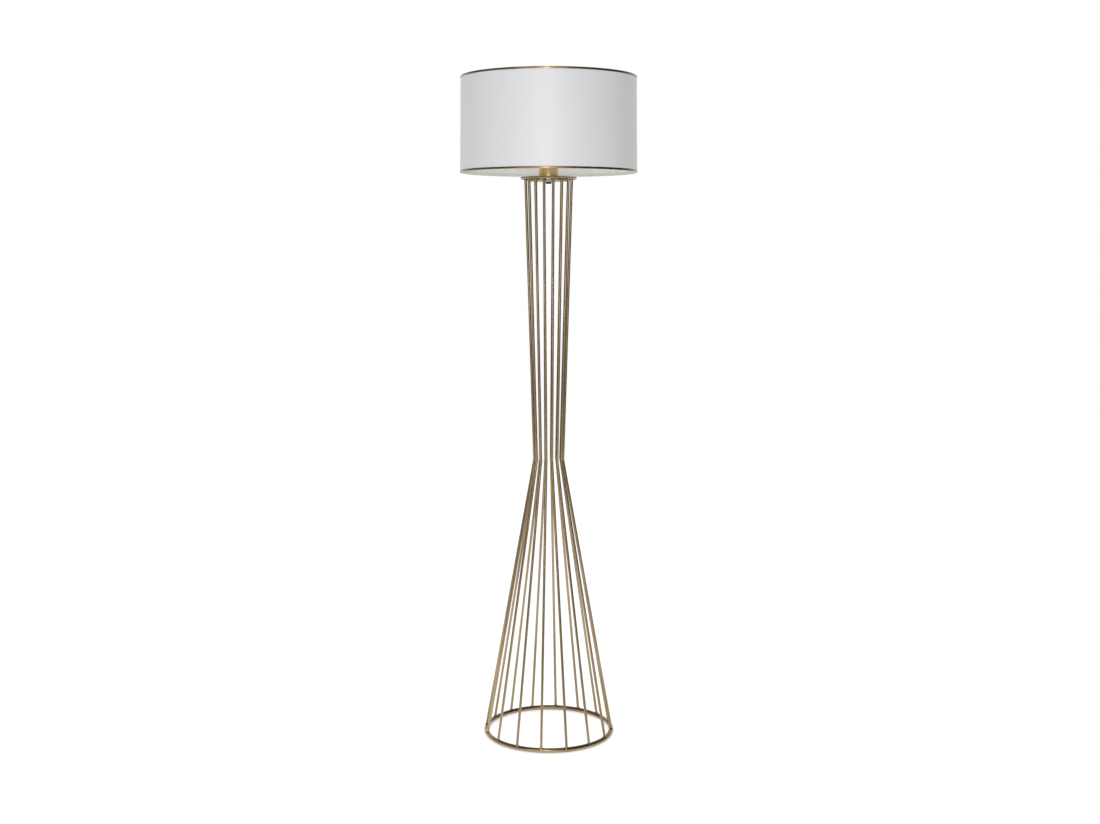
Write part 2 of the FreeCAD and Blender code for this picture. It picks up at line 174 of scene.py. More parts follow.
def box_size(node):
    """Outer radius, lowest and highest height of a node that is round the axis."""
    low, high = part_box(node)
    return high.x, low.z, high.z


def ring_outline(bm, corners, rounds=()):
    """Closed outline in the XZ plane; rounds holds (index of a corner, radius, segments)."""
    verts = [bm.verts.new((r, 0, z)) for r, z in corners]
    for here, there in zip(verts, verts[1:] + verts[:1]):
        bm.edges.new((here, there))
    for index, radius, segments in rounds:
        bmesh.ops.bevel(bm, geom=[verts[index]], offset=radius, offset_type="OFFSET",
                        segments=segments, profile=0.5, material=-1, affect="VERTICES")
    bmesh.ops.remove_doubles(bm, verts=bm.verts, dist=MERGE)


def lathe(corners, rounds=(), steps=96):
    """Outline turned a full circle about the lamp's axis."""
    bm = bmesh.new()
    ring_outline(bm, corners, rounds)
    bmesh.ops.spin(bm, geom=bm.verts[:] + bm.edges[:], cent=ORIGIN, axis=UP,
                   angle=math.tau, steps=steps, use_merge=True, use_duplicate=False)
    bmesh.ops.remove_doubles(bm, verts=bm.verts, dist=MERGE)
    bmesh.ops.recalc_face_normals(bm, faces=bm.faces)
    return bm


def bar_ring(radius, bar_radius, z, steps=192, sides=28):
    """Round bar bent to a full ring."""
    bm = bmesh.new()
    bmesh.ops.create_circle(bm, cap_ends=False, segments=sides, radius=bar_radius,
                            matrix=Matrix.Translation((radius, 0, z))
                            @ Matrix.Rotation(math.pi / 2, 4, "X"))
    bmesh.ops.spin(bm, geom=bm.verts[:] + bm.edges[:], cent=ORIGIN, axis=UP,
                   angle=math.tau, steps=steps, use_merge=True, use_duplicate=False)
    bmesh.ops.remove_doubles(bm, verts=bm.verts, dist=MERGE)
    bmesh.ops.recalc_face_normals(bm, faces=bm.faces)
    return bm


def extend(bm, loop, offset):
    """Draw a loop of edges out along a straight run and return its new end."""
    grown = bmesh.ops.extrude_edge_only(bm, edges=loop)["geom"]
    bmesh.ops.translate(bm, vec=offset,
                        verts=[part for part in grown if isinstance(part, bmesh.types.BMVert)])
    return [part for part in grown
            if isinstance(part, bmesh.types.BMEdge) and not part.is_manifold]


def open_edges(bm):
    return [edge for edge in bm.edges if edge.is_boundary]


def bent_rod(foot, waist, top, radius, bend_radius, sides=20, bend_steps=8):
    """Rod along two straight runs with one bend between them."""
    lower = (waist - foot).normalized()
    upper = (top - waist).normalized()
    turn = lower.angle(upper)
    run_in = bend_radius * math.tan(turn / 2)
    hinge = lower.cross(upper).normalized()
    bend_start = waist - lower * run_in
    bend_end = waist + upper * run_in
    centre = bend_start + hinge.cross(lower) * bend_radius
    bm = bmesh.new()
    bmesh.ops.create_circle(bm, cap_ends=False, segments=sides, radius=radius,
                            matrix=Matrix.Translation(foot)
                            @ lower.to_track_quat("Z", "Y").to_matrix().to_4x4())
    loop = extend(bm, bm.edges[:], bend_start - foot)
    bend = bmesh.ops.spin(bm, geom=loop, cent=centre, axis=hinge, angle=turn,
                          steps=bend_steps, use_merge=False, use_duplicate=False)
    loop = [part for part in bend["geom_last"] if isinstance(part, bmesh.types.BMEdge)]
    extend(bm, loop, top - bend_end)
    bmesh.ops.remove_doubles(bm, verts=bm.verts, dist=MERGE)
    bmesh.ops.holes_fill(bm, edges=open_edges(bm), sides=0)
    bmesh.ops.recalc_face_normals(bm, faces=bm.faces)
    return bm


def threaded_sheet(wave, pitch, low_z, high_z, wall, steps=64):
    """Threaded tube: a wave of (radius, share of the pitch) swept as it climbs one pitch."""
    turns = math.ceil((high_z - low_z) / pitch) + 2
    bm = bmesh.new()
    verts = [bm.verts.new((radius, 0, low_z + (turn - 1 + share) * pitch))
             for turn in range(turns) for radius, share in wave]
    for here, there in zip(verts, verts[1:]):
        bm.edges.new((here, there))
    bmesh.ops.spin(bm, geom=bm.verts[:] + bm.edges[:], cent=ORIGIN, axis=UP,
                   dvec=UP * (pitch / steps), angle=math.tau, steps=steps,
                   use_merge=False, use_duplicate=False)
    bmesh.ops.remove_doubles(bm, verts=bm.verts, dist=pitch * 0.01)
    for z, outward in ((low_z, -UP), (high_z, UP)):
        bmesh.ops.bisect_plane(bm, geom=bm.verts[:] + bm.edges[:] + bm.faces[:],
                               plane_co=(0, 0, z), plane_no=outward, clear_outer=True)
    bmesh.ops.recalc_face_normals(bm, faces=bm.faces)
    bmesh.ops.solidify(bm, geom=bm.faces[:], thickness=wall)
    return bm


def sine_wave(middle, depth, points):
    """One pitch of a rolled thread."""
    return [(middle + depth * math.sin(math.tau * index / points), index / points)
            for index in range(points)]


def merged_copy(node):
    """Mesh of a node, its loose triangles merged."""
    bm = bmesh.new()
    bm.from_mesh(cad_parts[node].data)
    bmesh.ops.remove_doubles(bm, verts=bm.verts, dist=MERGE)
    return bm


def broken_edges(node, width):
    """Copy of a machined or moulded node with its sharp edges broken."""
    bm = merged_copy(node)
    bmesh.ops.dissolve_limit(bm, angle_limit=FLAT, verts=bm.verts, edges=bm.edges)
    sharp = [edge for edge in bm.edges if edge.is_manifold and edge.calc_face_angle(0) > SHARP]
    bmesh.ops.bevel(bm, geom=sharp, offset=width, offset_type="OFFSET", segments=2,
                    profile=0.5, material=-1, affect="EDGES", clamp_overlap=True)
    return bm


def weld_bead(bm, at, along, inner_radius, leg, seed, seat=None):
    """Uneven bead of weld metal round a rod's end; seat says how far to lower each point."""
    before = set(bm.verts)
    sunk = leg * 0.5
    lump_size = leg / 0.6
    unevenness = leg * 0.22
    corners = ((inner_radius * 0.9, -sunk), (inner_radius + leg, -sunk * 0.6),
               (inner_radius + leg * 0.55, leg * 0.35), (inner_radius, leg * 0.95),
               (inner_radius * 0.9, leg * 0.9))
    verts = [bm.verts.new((radius, 0, z)) for radius, z in corners]
    edges = [bm.edges.new(pair) for pair in zip(verts, verts[1:] + verts[:1])]
    bmesh.ops.spin(bm, geom=verts + edges, cent=ORIGIN, axis=UP, angle=math.tau, steps=18,
                   use_merge=True, use_duplicate=False)
    bead = [vert for vert in bm.verts if vert not in before]
    for vert in bead:
        lump = noise.noise(vert.co / lump_size + Vector((seed * 7.3, seed * 3.1, 0)))
        vert.co += vert.co.normalized() * lump * unevenness
    turn = along.to_track_quat("Z", "Y").to_matrix().to_4x4()
    bmesh.ops.transform(bm, matrix=Matrix.Translation(at) @ turn, verts=bead)
    if seat:
        for vert in bead:
            vert.co.z -= seat(vert.co)


def add_piece(name, bm, body, slot, nodes=()):
    """Finish a bmesh as a piece that rides on a body, with its slot's finish."""
    for face in bm.faces:
        face.smooth = True
    for edge in bm.edges:
        edge.smooth = not edge.is_manifold or edge.calc_face_angle(0) < SHARP
    mesh = bpy.data.meshes.new(name)
    bm.to_mesh(mesh)
    bm.free()
    piece = bpy.data.objects.new(name, mesh)
    bpy.context.scene.collection.objects.link(piece)
    mesh.materials.append(finish(slot))
    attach(piece, body)
    if nodes:
        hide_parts(*nodes)


def refinish(slot, *nodes):
    """Give the solid model's own nodes a finish."""
    for node in nodes:
        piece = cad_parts[node]
        if not piece.material_slots:
            piece.data.materials.append(None)
        for material_slot in piece.material_slots:
            material_slot.material = finish(slot)


# ---- shader tools ------------------------------------------------------------------------


NOISE_ROUGHNESS = 0.55


class Value:
    """A node's output in an expression: arithmetic on it adds Math nodes."""

    def __init__(self, nodes, socket):
        self.nodes = nodes
        self.socket = socket

    def math(self, operation, *others):
        return self.nodes.add("ShaderNodeMath", {"operation": operation},
                              dict(enumerate((self, *others))))

    def __add__(self, other):
        return self.math("ADD", other)

    __radd__ = __add__

    def __sub__(self, other):
        return self.math("SUBTRACT", other)

    def __rsub__(self, other):
        return self.nodes.add("ShaderNodeMath", {"operation": "SUBTRACT"}, {0: other, 1: self})

    def __mul__(self, other):
        return self.math("MULTIPLY", other)

    __rmul__ = __mul__

    def ramp(self, low, high):
        """Smooth step from 0 at the low value to 1 at the high one."""
        return self.nodes.add("ShaderNodeMapRange", {"interpolation_type": "SMOOTHSTEP"},
                              {"Value": self, "From Min": low, "From Max": high})


class Nodes:
    """A node tree that is built one node at a time."""

    def __init__(self, tree):
        self.tree = tree
        self.tree.nodes.clear()

    def add(self, kind, settings=None, inputs=None, output=0):
        """New node: its settings first, then the values or links of its sockets."""
        node = self.tree.nodes.new(kind)
        for name, value in (settings or {}).items():
            setattr(node, name, value)
        for name, value in (inputs or {}).items():
            if isinstance(value, Value):
                self.tree.links.new(value.socket, node.inputs[name])
            else:
                node.inputs[name].default_value = value
        return Value(self, node.outputs[output] if node.outputs else None)

    def mix_colours(self, share, first, second):
        settings = {"data_type": "RGBA", "clamp_factor": True}
        return self.add("ShaderNodeMix", settings, {0: share, 6: first, 7: second}, output=2)

    def coordinates(self, kind="Object"):
        return self.add("ShaderNodeTexCoord", output=kind)

    def stretched(self, vector, scale):
        return self.add("ShaderNodeMapping", {}, {"Vector": vector, "Scale": scale})

    def split(self, vector):
        parts = self.add("ShaderNodeSeparateXYZ", {}, {0: vector}).socket.node.outputs
        return [Value(self, part) for part in parts]

    def noise(self, vector, scale, detail):
        return self.add("ShaderNodeTexNoise", {},
                        {"Vector": vector, "Scale": scale, "Detail": detail,
                         "Roughness": NOISE_ROUGHNESS})

    def cells(self, vector, scale):
        """A random value in each cell."""
        colour_of_cell = self.add("ShaderNodeTexVoronoi", {"feature": "F1"},
                                  {"Vector": vector, "Scale": scale}, output="Color")
        return self.split(colour_of_cell)[0]

    def bump(self, height, distance, strength, under=None):
        """Normal from a height; distance is in metres, and under is a bump below this one."""
        inputs = {"Height": height, "Distance": distance, "Strength": strength}
        if under:
            inputs["Normal"] = under
        return self.add("ShaderNodeBump", {}, inputs)


class Finish(Nodes):
    """One procedural material."""

    def __init__(self, name):
        self.material = bpy.data.materials.new(name)
        self.material.use_nodes = True
        super().__init__(self.material.node_tree)

    def surface(self, **inputs):
        """Close the material with a surface shader; names use _ for spaces."""
        sockets = {name.replace("_", " "): value for name, value in inputs.items()}
        shader = self.add("ShaderNodeBsdfPrincipled", {}, sockets)
        self.add("ShaderNodeOutputMaterial", {}, {"Surface": shader})


def gold_lacquer(nodes, colours):
    """Gold-bronze metallic lacquer on steel: fine flake, soft orange peel, slight patches."""
    place = nodes.coordinates()
    drift = nodes.noise(nodes.stretched(place, (1, 1, 0.45)), 9.0, 4.0).ramp(0.36, 0.64)
    speckle = nodes.noise(place, 420.0, 2.0)
    patches = drift * 0.90 + speckle * 0.10
    tint = nodes.mix_colours(patches, colours.gold, colours.gold_low)
    flake = nodes.cells(place, 2400.0)
    peel = nodes.bump(nodes.noise(place, 260.0, 2.0), 0.00003, 0.5)
    grain = nodes.bump(flake, 0.000001, 0.3, peel)
    roughness = 0.19 + patches * 0.07 + flake * 0.04
    nodes.surface(Base_Color=tint, Metallic=0.96, Roughness=roughness, Normal=grain)


def polished_metal(nodes, colours):
    """Spun cup: polished, with hairline turning marks round it and light handling marks."""
    place = nodes.coordinates()
    lines = nodes.noise(nodes.stretched(place, (1, 1, 60)), 90.0, 4.0)
    smudge = nodes.noise(place, 70.0, 3.0).ramp(0.42, 0.68)
    tint = nodes.mix_colours(smudge * 0.35, colours.cup, colours.gold)
    nodes.surface(Base_Color=tint, Metallic=1.0, Roughness=0.11 + smudge * 0.08 + lines * 0.05,
                  Normal=nodes.bump(lines, 0.000004, 0.4))


def foil_tape(nodes, colours):
    """Metallic edge tape: fine ribs across it and small creases along it."""
    along = nodes.coordinates("UV")
    creases = nodes.noise(nodes.stretched(along, (45, 900, 1)), 1.0, 4.0)
    ribs = nodes.add("ShaderNodeTexWave", {"wave_type": "BANDS", "bands_direction": "X"},
                     {"Vector": along, "Scale": 320.0, "Distortion": 0.6, "Detail": 1.0})
    tint = nodes.mix_colours(creases.ramp(0.3, 0.75), colours.tape, colours.gold_low)
    crease_bump = nodes.bump(creases, 0.00004, 0.5)
    nodes.surface(Base_Color=tint, Metallic=0.9, Roughness=0.20 + creases * 0.14,
                  Normal=nodes.bump(ribs, 0.000004, 0.4, crease_bump))


def woven_cloth(nodes, colours):
    """Laminated cover: fine even weave with thicker threads here and there, faint sheen."""
    thread = 0.00052
    flat = nodes.coordinates("UV")
    along, up, _ = nodes.split(flat)
    weft = (along * (math.pi / thread)).math("SINE")
    warp = (up * (math.pi / thread)).math("SINE")
    weave = (weft * warp) * 0.5 + 0.5
    slub_up = nodes.noise(nodes.stretched(flat, (1600, 40, 1)), 1.0, 2.0).ramp(0.62, 0.80)
    slub_along = nodes.noise(nodes.stretched(flat, (34, 1500, 1)), 1.0, 2.0).ramp(0.60, 0.80)
    slubs = slub_up.math("MAXIMUM", slub_along)
    cloud = nodes.noise(nodes.coordinates(), 5.0, 2.0)
    shadow = nodes.mix_colours(0.10 * weave + 0.10 * slubs + 0.06 * cloud, colours.cloth,
                               (0.62, 0.63, 0.65, 1))
    height = weave * 0.6 + slubs * 0.4
    nodes.surface(Base_Color=shadow, Roughness=0.40 + weave * 0.06, Specular_IOR_Level=0.9,
                  Sheen_Weight=0.12, Sheen_Roughness=0.5,
                  Normal=nodes.bump(height, 0.00004, 0.2))


def lining_film(nodes, colours):
    """Stiff white film inside the shade, faintly mottled by the glue."""
    place = nodes.coordinates()
    mottle = nodes.noise(place, 60.0, 3.0)
    tint = nodes.mix_colours(mottle.ramp(0.35, 0.75) * 0.25, colours.lining,
                             (0.70, 0.71, 0.67, 1))
    nodes.surface(Base_Color=tint, Roughness=0.42 + mottle * 0.15,
                  Normal=nodes.bump(mottle, 0.0001, 0.25))


def plated_steel(nodes, colours):
    """Zinc plate: bright grey with a fine crystalline pattern."""
    place = nodes.coordinates()
    crystal = nodes.cells(place, 700.0)
    haze = nodes.noise(place, 160.0, 3.0)
    tint = nodes.mix_colours(haze * 0.5 + crystal * 0.2, colours.zinc, (0.34, 0.35, 0.38, 1))
    nodes.surface(Base_Color=tint, Metallic=1.0, Roughness=0.24 + haze * 0.22,
                  Normal=nodes.bump(crystal, 0.000004, 0.4))


def contact_brass(nodes, colours):
    """Stamped brass with roll marks and slight tarnish."""
    place = nodes.coordinates()
    tarnish = nodes.noise(place, 130.0, 4.0).ramp(0.4, 0.75)
    roll = nodes.noise(nodes.stretched(place, (1, 14, 1)), 300.0, 2.0)
    tint = nodes.mix_colours(tarnish * 0.6, colours.brass, (0.40, 0.26, 0.12, 1))
    nodes.surface(Base_Color=tint, Metallic=1.0, Roughness=0.22 + tarnish * 0.20,
                  Normal=nodes.bump(roll, 0.00001, 0.4))


def moulded(nodes, base, shade, roughness, grain, distance):
    """Moulded or fired surface with a fine grain and a slight change of tone."""
    place = nodes.coordinates()
    tone = nodes.noise(place, 35.0, 3.0)
    texture = nodes.noise(place, grain, 2.0)
    tint = nodes.mix_colours(tone.ramp(0.35, 0.7) * 0.5, base, shade)
    nodes.surface(Base_Color=tint, Roughness=roughness + texture * 0.14,
                  Normal=nodes.bump(texture, distance, 0.4))


def black_moulding(nodes, colours):
    moulded(nodes, colours.black, (0.035, 0.035, 0.037, 1), 0.36, 900.0, 0.00005)


def white_moulding(nodes, colours):
    moulded(nodes, colours.moulding, (0.66, 0.65, 0.61, 1), 0.24, 500.0, 0.00003)


def glazed_ceramic(nodes, colours):
    moulded(nodes, colours.ceramic, (0.69, 0.66, 0.60, 1), 0.16, 300.0, 0.00006)


def powder_coat(nodes, colours):
    moulded(nodes, colours.wire, (0.68, 0.68, 0.67, 1), 0.38, 1100.0, 0.00006)


def clear_plastic(nodes, colours):
    """Soft clear pad, hazed by wear."""
    haze = nodes.noise(nodes.coordinates(), 300.0, 3.0)
    tint = nodes.mix_colours(haze * 0.4, colours.pad, (0.74, 0.77, 0.77, 1))
    nodes.surface(Base_Color=tint, Roughness=0.14 + haze * 0.24, IOR=1.47,
                  Transmission_Weight=0.85, Normal=nodes.bump(haze, 0.00005, 0.4))


FINISHES = {
    "gold_paint": gold_lacquer,
    "polished_cup": polished_metal,
    "gold_tape": foil_tape,
    "shade_cloth": woven_cloth,
    "shade_lining": lining_film,
    "zinc_steel": plated_steel,
    "contact_brass": contact_brass,
    "black_bushing": black_moulding,
    "holder_moulding": white_moulding,
    "contact_ceramic": glazed_ceramic,
    "white_wire": powder_coat,
    "clear_pad": clear_plastic,
}


def finish(slot):
    """The material of a slot, made on first use; the solids' own plain one has the bare name."""
    name = slot + "_finish"
    material = bpy.data.materials.get(name)
    if material is None:
        nodes = Finish(name)
        FINISHES[slot](nodes, bpy.context.scene.lamp_colours)
        material = nodes.material
    return material


# ---- stand -------------------------------------------------------------------------------


def cage_points(cage, number):
    """Foot, bend and top of a rod's centreline."""
    ring_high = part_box("base_ring")[1].z
    cap_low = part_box("top_cap")[1].z - bpy.context.scene.lamp_holder.cap_sheet
    step = math.tau / cage.rod_count * number
    foot = polar(cage.foot_radius, cage.foot_turn + step, ring_high)
    waist = polar(cage.waist_radius, cage.waist_turn + step, cage.waist_height)
    top = polar(cage.top_radius, cage.top_turn + step, cap_low)
    return foot, waist, top


class LampBaseRing(bpy.types.Operator):
    """Bar bent to a ring on the floor, with the weld that closes it at the back"""

    bl_idname = "lamp.base_ring"
    bl_label = "Base Ring"

    def execute(self, context):
        outer, low, high = box_size("base_ring")
        bar = (high - low) / 2
        bm = bar_ring(outer - bar, bar, low + bar)
        closing = Vector((0, outer - bar, low + bar))
        sunk_radius = bar * 0.97
        leg = 0.0006
        weld_bead(bm, closing, Vector((1, 0, 0)), sunk_radius, leg, 3)
        weld_bead(bm, closing, Vector((-1, 0, 0)), sunk_radius, leg, 4)
        add_piece("base_ring_bar", bm, "stand", "gold_paint", ["base_ring"])
        return {"FINISHED"}


class LampPads(bpy.types.Operator):
    """Clear saddle pads under the base ring"""

    bl_idname = "lamp.pads"
    bl_label = "Pads"

    def execute(self, context):
        edge = context.scene.lamp_holder.edge
        for node in sorted(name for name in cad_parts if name.startswith("foot_pad")):
            number = node.rsplit("_", 1)[1]
            add_piece("pad_" + number, broken_edges(node, edge), "stand", "clear_pad", [node])
        return {"FINISHED"}


class LampRods(bpy.types.Operator):
    """Sixteen bent rods of the cage"""

    bl_idname = "lamp.rods"
    bl_label = "Cage Rods"

    def execute(self, context):
        cage = context.scene.lamp_cage
        radius = cage.rod_diameter / 2
        for number in range(cage.rod_count):
            foot, waist, top = cage_points(cage, number)
            into_bar = (foot - waist).normalized() * radius
            into_cap = (top - waist).normalized() * radius * 0.2
            bm = bent_rod(foot + into_bar, waist, top + into_cap, radius, cage.bend_radius)
            name = f"{number + 1:02d}"
            add_piece("rod_" + name, bm, "stand", "gold_paint", ["cage_rod_" + name])
        return {"FINISHED"}


class LampWelds(bpy.types.Operator):
    """Weld beads at the rods' feet and tops"""

    bl_idname = "lamp.welds"
    bl_label = "Cage Welds"

    def execute(self, context):
        cage = context.scene.lamp_cage
        radius = cage.rod_diameter / 2
        outer, low, high = box_size("base_ring")
        bar = (high - low) / 2

        def fall_of_bar(place):
            """How far the bar's surface has dropped below its crest."""
            off = min(abs(math.hypot(place.x, place.y) - (outer - bar)), bar * 0.95)
            return bar - math.sqrt(bar ** 2 - off ** 2)

        feet = bmesh.new()
        tops = bmesh.new()
        for number in range(cage.rod_count):
            foot, waist, top = cage_points(cage, number)
            weld_bead(feet, foot, (waist - foot).normalized(), radius, cage.weld_leg,
                      number, fall_of_bar)
            weld_bead(tops, top, (waist - top).normalized(), radius, cage.weld_leg * 0.8,
                      number + 40)
        for name, bm in (("foot_welds", feet), ("cap_welds", tops)):
            bmesh.ops.recalc_face_normals(bm, faces=bm.faces)
            add_piece(name, bm, "stand", "gold_paint")
        return {"FINISHED"}


class LampTopCap(bpy.types.Operator):
    """Disc over the rods, with a half-round rim"""

    bl_idname = "lamp.top_cap"
    bl_label = "Top Cap"

    def execute(self, context):
        outer, low, high = box_size("top_cap")
        sizes = context.scene.lamp_holder
        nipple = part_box("threaded_nipple")[1].x
        under = high - sizes.cap_sheet
        rim = (high - low) / 2
        inner = outer - rim
        bm = lathe(
            ((nipple, high), (outer, high), (outer, low), (inner, low), (inner, under),
             (nipple, under)),
            ((1, rim, 9), (2, rim, 9), (3, sizes.edge, 3), (4, sizes.edge * 3, 4)),
            steps=128,
        )
        add_piece("cap_disc", bm, "stand", "gold_paint", ["top_cap"])
        return {"FINISHED"}


class LampCordEntry(bpy.types.Operator):
    """Threaded nipple through the cap, with its washer, nut, dished cover and cord bushing"""

    bl_idname = "lamp.cord_entry"
    bl_label = "Cord Entry"

    def execute(self, context):
        sizes = context.scene.lamp_holder
        radius, low, high = box_size("threaded_nipple")
        depth = sizes.nipple_pitch * 0.3
        wave = ((radius - depth, 0.0), (radius, 0.45), (radius, 0.55))
        bm = threaded_sheet(wave, sizes.nipple_pitch, low, high,
                            radius - depth - sizes.nipple_bore, steps=40)
        add_piece("nipple", bm, "stand", "zinc_steel", ["threaded_nipple"])
        add_piece("nipple_washer", broken_edges("washer", sizes.edge), "stand", "zinc_steel",
                  ["washer"])
        add_piece("nipple_nut", broken_edges("lock_nut", sizes.edge * 2), "stand",
                  "zinc_steel", ["lock_nut"])
        add_piece("bushing", merged_copy("cord_bushing"), "stand", "black_bushing",
                  ["cord_bushing"])
        add_piece("dished_cover", merged_copy("nut_cover"), "stand", "gold_paint", ["nut_cover"])
        return {"FINISHED"}


# ---- lampholder --------------------------------------------------------------------------


class LampCup(bpy.types.Operator):
    """Polished cup on the cap, with a bead round its foot and a rolled lip"""

    bl_idname = "lamp.cup"
    bl_label = "Lampholder Cup"

    def execute(self, context):
        sizes = context.scene.lamp_holder
        outer, low, high = box_size("lampholder_cup")
        bead = sizes.cup_bead
        lip = sizes.cup_lip
        radius = outer - bead
        inner = radius - sizes.cup_sheet
        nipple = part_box("threaded_nipple")[1].x
        bm = lathe(
            ((nipple, low), (outer, low), (outer, low + 2 * bead), (radius, low + 2 * bead),
             (radius, high - 2 * lip), (radius + lip, high - 2 * lip), (radius + lip, high),
             (inner, high), (inner, low + sizes.cup_sheet), (nipple, low + sizes.cup_sheet)),
            ((1, bead, 4), (2, bead, 4), (5, lip, 4), (6, lip, 4), (7, lip, 3)),
            steps=128,
        )
        add_piece("cup", bm, "stand", "polished_cup", ["lampholder_cup"])
        return {"FINISHED"}


class LampHolder(bpy.types.Operator):
    """Moulded lampholder with its outer thread and rolled screw shell"""

    bl_idname = "lamp.holder"
    bl_label = "Lampholder"

    def execute(self, context):
        sizes = context.scene.lamp_holder
        add_piece("holder_base", broken_edges("lampholder_cap", sizes.edge), "stand",
                  "holder_moulding", ["lampholder_cap"])
        refinish("contact_ceramic", "contact_carrier")
        self.add_barrel(sizes)
        self.add_shell(sizes)
        return {"FINISHED"}

    def add_barrel(self, sizes):
        """Barrel turned a thread's depth smaller, and a threaded sleeve round it."""
        radius, low, high = box_size("lampholder_barrel")
        step_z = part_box("lampholder_cap")[1].z
        shell, shell_low, shell_high = box_size("screw_shell")
        root = radius - sizes.barrel_depth
        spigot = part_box("contact_carrier")[1].x
        mouth = shell + sizes.edge * 3
        bore = shell + sizes.edge * 2
        bm = lathe(
            ((bore, low), (spigot, low), (spigot, step_z), (root, step_z), (root, high),
             (mouth, high), (mouth, shell_high), (shell, shell_high),
             (shell, shell_low), (bore, shell_low)),
            ((4, sizes.edge * 3, 4), (5, sizes.edge * 2, 3)),
        )
        add_piece("barrel", bm, "stand", "holder_moulding", ["lampholder_barrel"])
        thread_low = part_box("lampholder_cup")[1].z - sizes.barrel_pitch
        wave = ((root, 0.0), (radius, 0.3), (radius, 0.6), (root, 0.9))
        bm = threaded_sheet(wave, sizes.barrel_pitch, thread_low, high - sizes.barrel_pitch,
                            sizes.barrel_depth, steps=72)
        add_piece("barrel_thread", bm, "stand", "holder_moulding")

    def add_shell(self, sizes):
        """Brass shell, rolled to the lamp's thread."""
        radius, low, high = box_size("screw_shell")
        depth = sizes.shell_depth
        wave = sine_wave(radius - depth, depth, 10)
        bm = threaded_sheet(wave, sizes.shell_pitch, low, high, sizes.edge, steps=72)
        add_piece("shell", bm, "stand", "contact_brass", ["screw_shell"])


class LampContacts(bpy.types.Operator):
    """Terminals, screws and contacts inside the lampholder"""

    bl_idname = "lamp.contacts"
    bl_label = "Contacts"

    def execute(self, context):
        edge = context.scene.lamp_holder.edge * 0.4
        for node in ("live_terminal", "neutral_terminal", "contact_foot", "shell_strip"):
            add_piece("brass_" + node, broken_edges(node, edge), "stand", "contact_brass",
                      [node])
        add_piece("screws", broken_edges("terminal_screws", edge), "stand", "zinc_steel",
                  ["terminal_screws"])
        add_piece("contact_leaf", merged_copy("centre_contact"), "contact_leaf",
                  "contact_brass", ["centre_contact"])
        return {"FINISHED"}


# ---- shade -------------------------------------------------------------------------------


class LampShadeRings(bpy.types.Operator):
    """Support ring below the shade's carrier and retaining ring above it"""

    bl_idname = "lamp.shade_rings"
    bl_label = "Shade Rings"

    def execute(self, context):
        edge = context.scene.lamp_holder.edge
        add_piece("lower_ring", broken_edges("support_ring", edge), "shade_seat",
                  "holder_moulding", ["support_ring"])
        add_piece("upper_ring", broken_edges("retaining_ring", edge), "shade_nut",
                  "holder_moulding", ["retaining_ring"])
        return {"FINISHED"}


class LampShadeFrame(bpy.types.Operator):
    """White wire frame of the shade: carrier ring, arms and the two wire rings"""

    bl_idname = "lamp.shade_frame"
    bl_label = "Shade Frame"

    def execute(self, context):
        edge = context.scene.lamp_holder.edge
        add_piece("carrier", broken_edges("carrier_ring", edge), "shade", "white_wire",
                  ["carrier_ring"])
        for name in ("shade_bottom_wire", "shade_top_wire"):
            outer, low, high = box_size(name)
            wire = (high - low) / 2
            bm = bar_ring(outer - wire, wire, low + wire, sides=16)
            add_piece(name.replace("shade_", ""), bm, "shade", "white_wire", [name])
        for node in sorted(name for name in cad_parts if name.startswith("shade_arm")):
            add_piece(node.replace("shade_", ""), merged_copy(node), "shade", "white_wire",
                      [node])
        self.add_welds()
        return {"FINISHED"}

    def add_welds(self):
        """Beads where the arms meet the carrier ring and the bottom wire."""
        carrier, carrier_low, carrier_high = box_size("carrier_ring")
        wire_outer, wire_low, wire_high = box_size("shade_bottom_wire")
        wire = (wire_high - wire_low) / 2
        arm_z = (carrier_low + carrier_high) / 2
        arm_inset = 0.001
        arm_end = wire_outer - wire - arm_inset
        leg = 0.0013
        bm = bmesh.new()
        for number in range(SHADE_ARMS):
            turn = math.pi + math.tau / SHADE_ARMS * number
            outward = polar(1, turn, 0)
            weld_bead(bm, polar(carrier, turn, arm_z), outward, wire, leg, number + 60)
            weld_bead(bm, polar(arm_end, turn, wire_high), UP, wire, leg, number + 70)
        bmesh.ops.recalc_face_normals(bm, faces=bm.faces)
        add_piece("arm_welds", bm, "shade", "white_wire")


def wrap_uv(bm):
    """UV in metres: along the wall from the back, and up."""
    layer = bm.loops.layers.uv.new("wall")
    for face in bm.faces:
        centre = face.calc_center_median()
        facing = math.atan2(centre.x, -centre.y)
        for loop in face.loops:
            place = loop.vert.co
            turn = math.atan2(place.x, -place.y)
            turn += math.tau * round((facing - turn) / math.tau)
            loop[layer].uv = (turn * math.hypot(centre.x, centre.y), place.z)


def wall_outline(bottom_r, top_r, low, high, thickness, rows):
    """Outline of a slightly tapered wall, its faces split into rows."""
    outside = [(bottom_r + (top_r - bottom_r) * row / rows, low + (high - low) * row / rows)
               for row in range(rows + 1)]
    inside = [(r - thickness, z) for r, z in reversed(outside)]
    return outside + inside


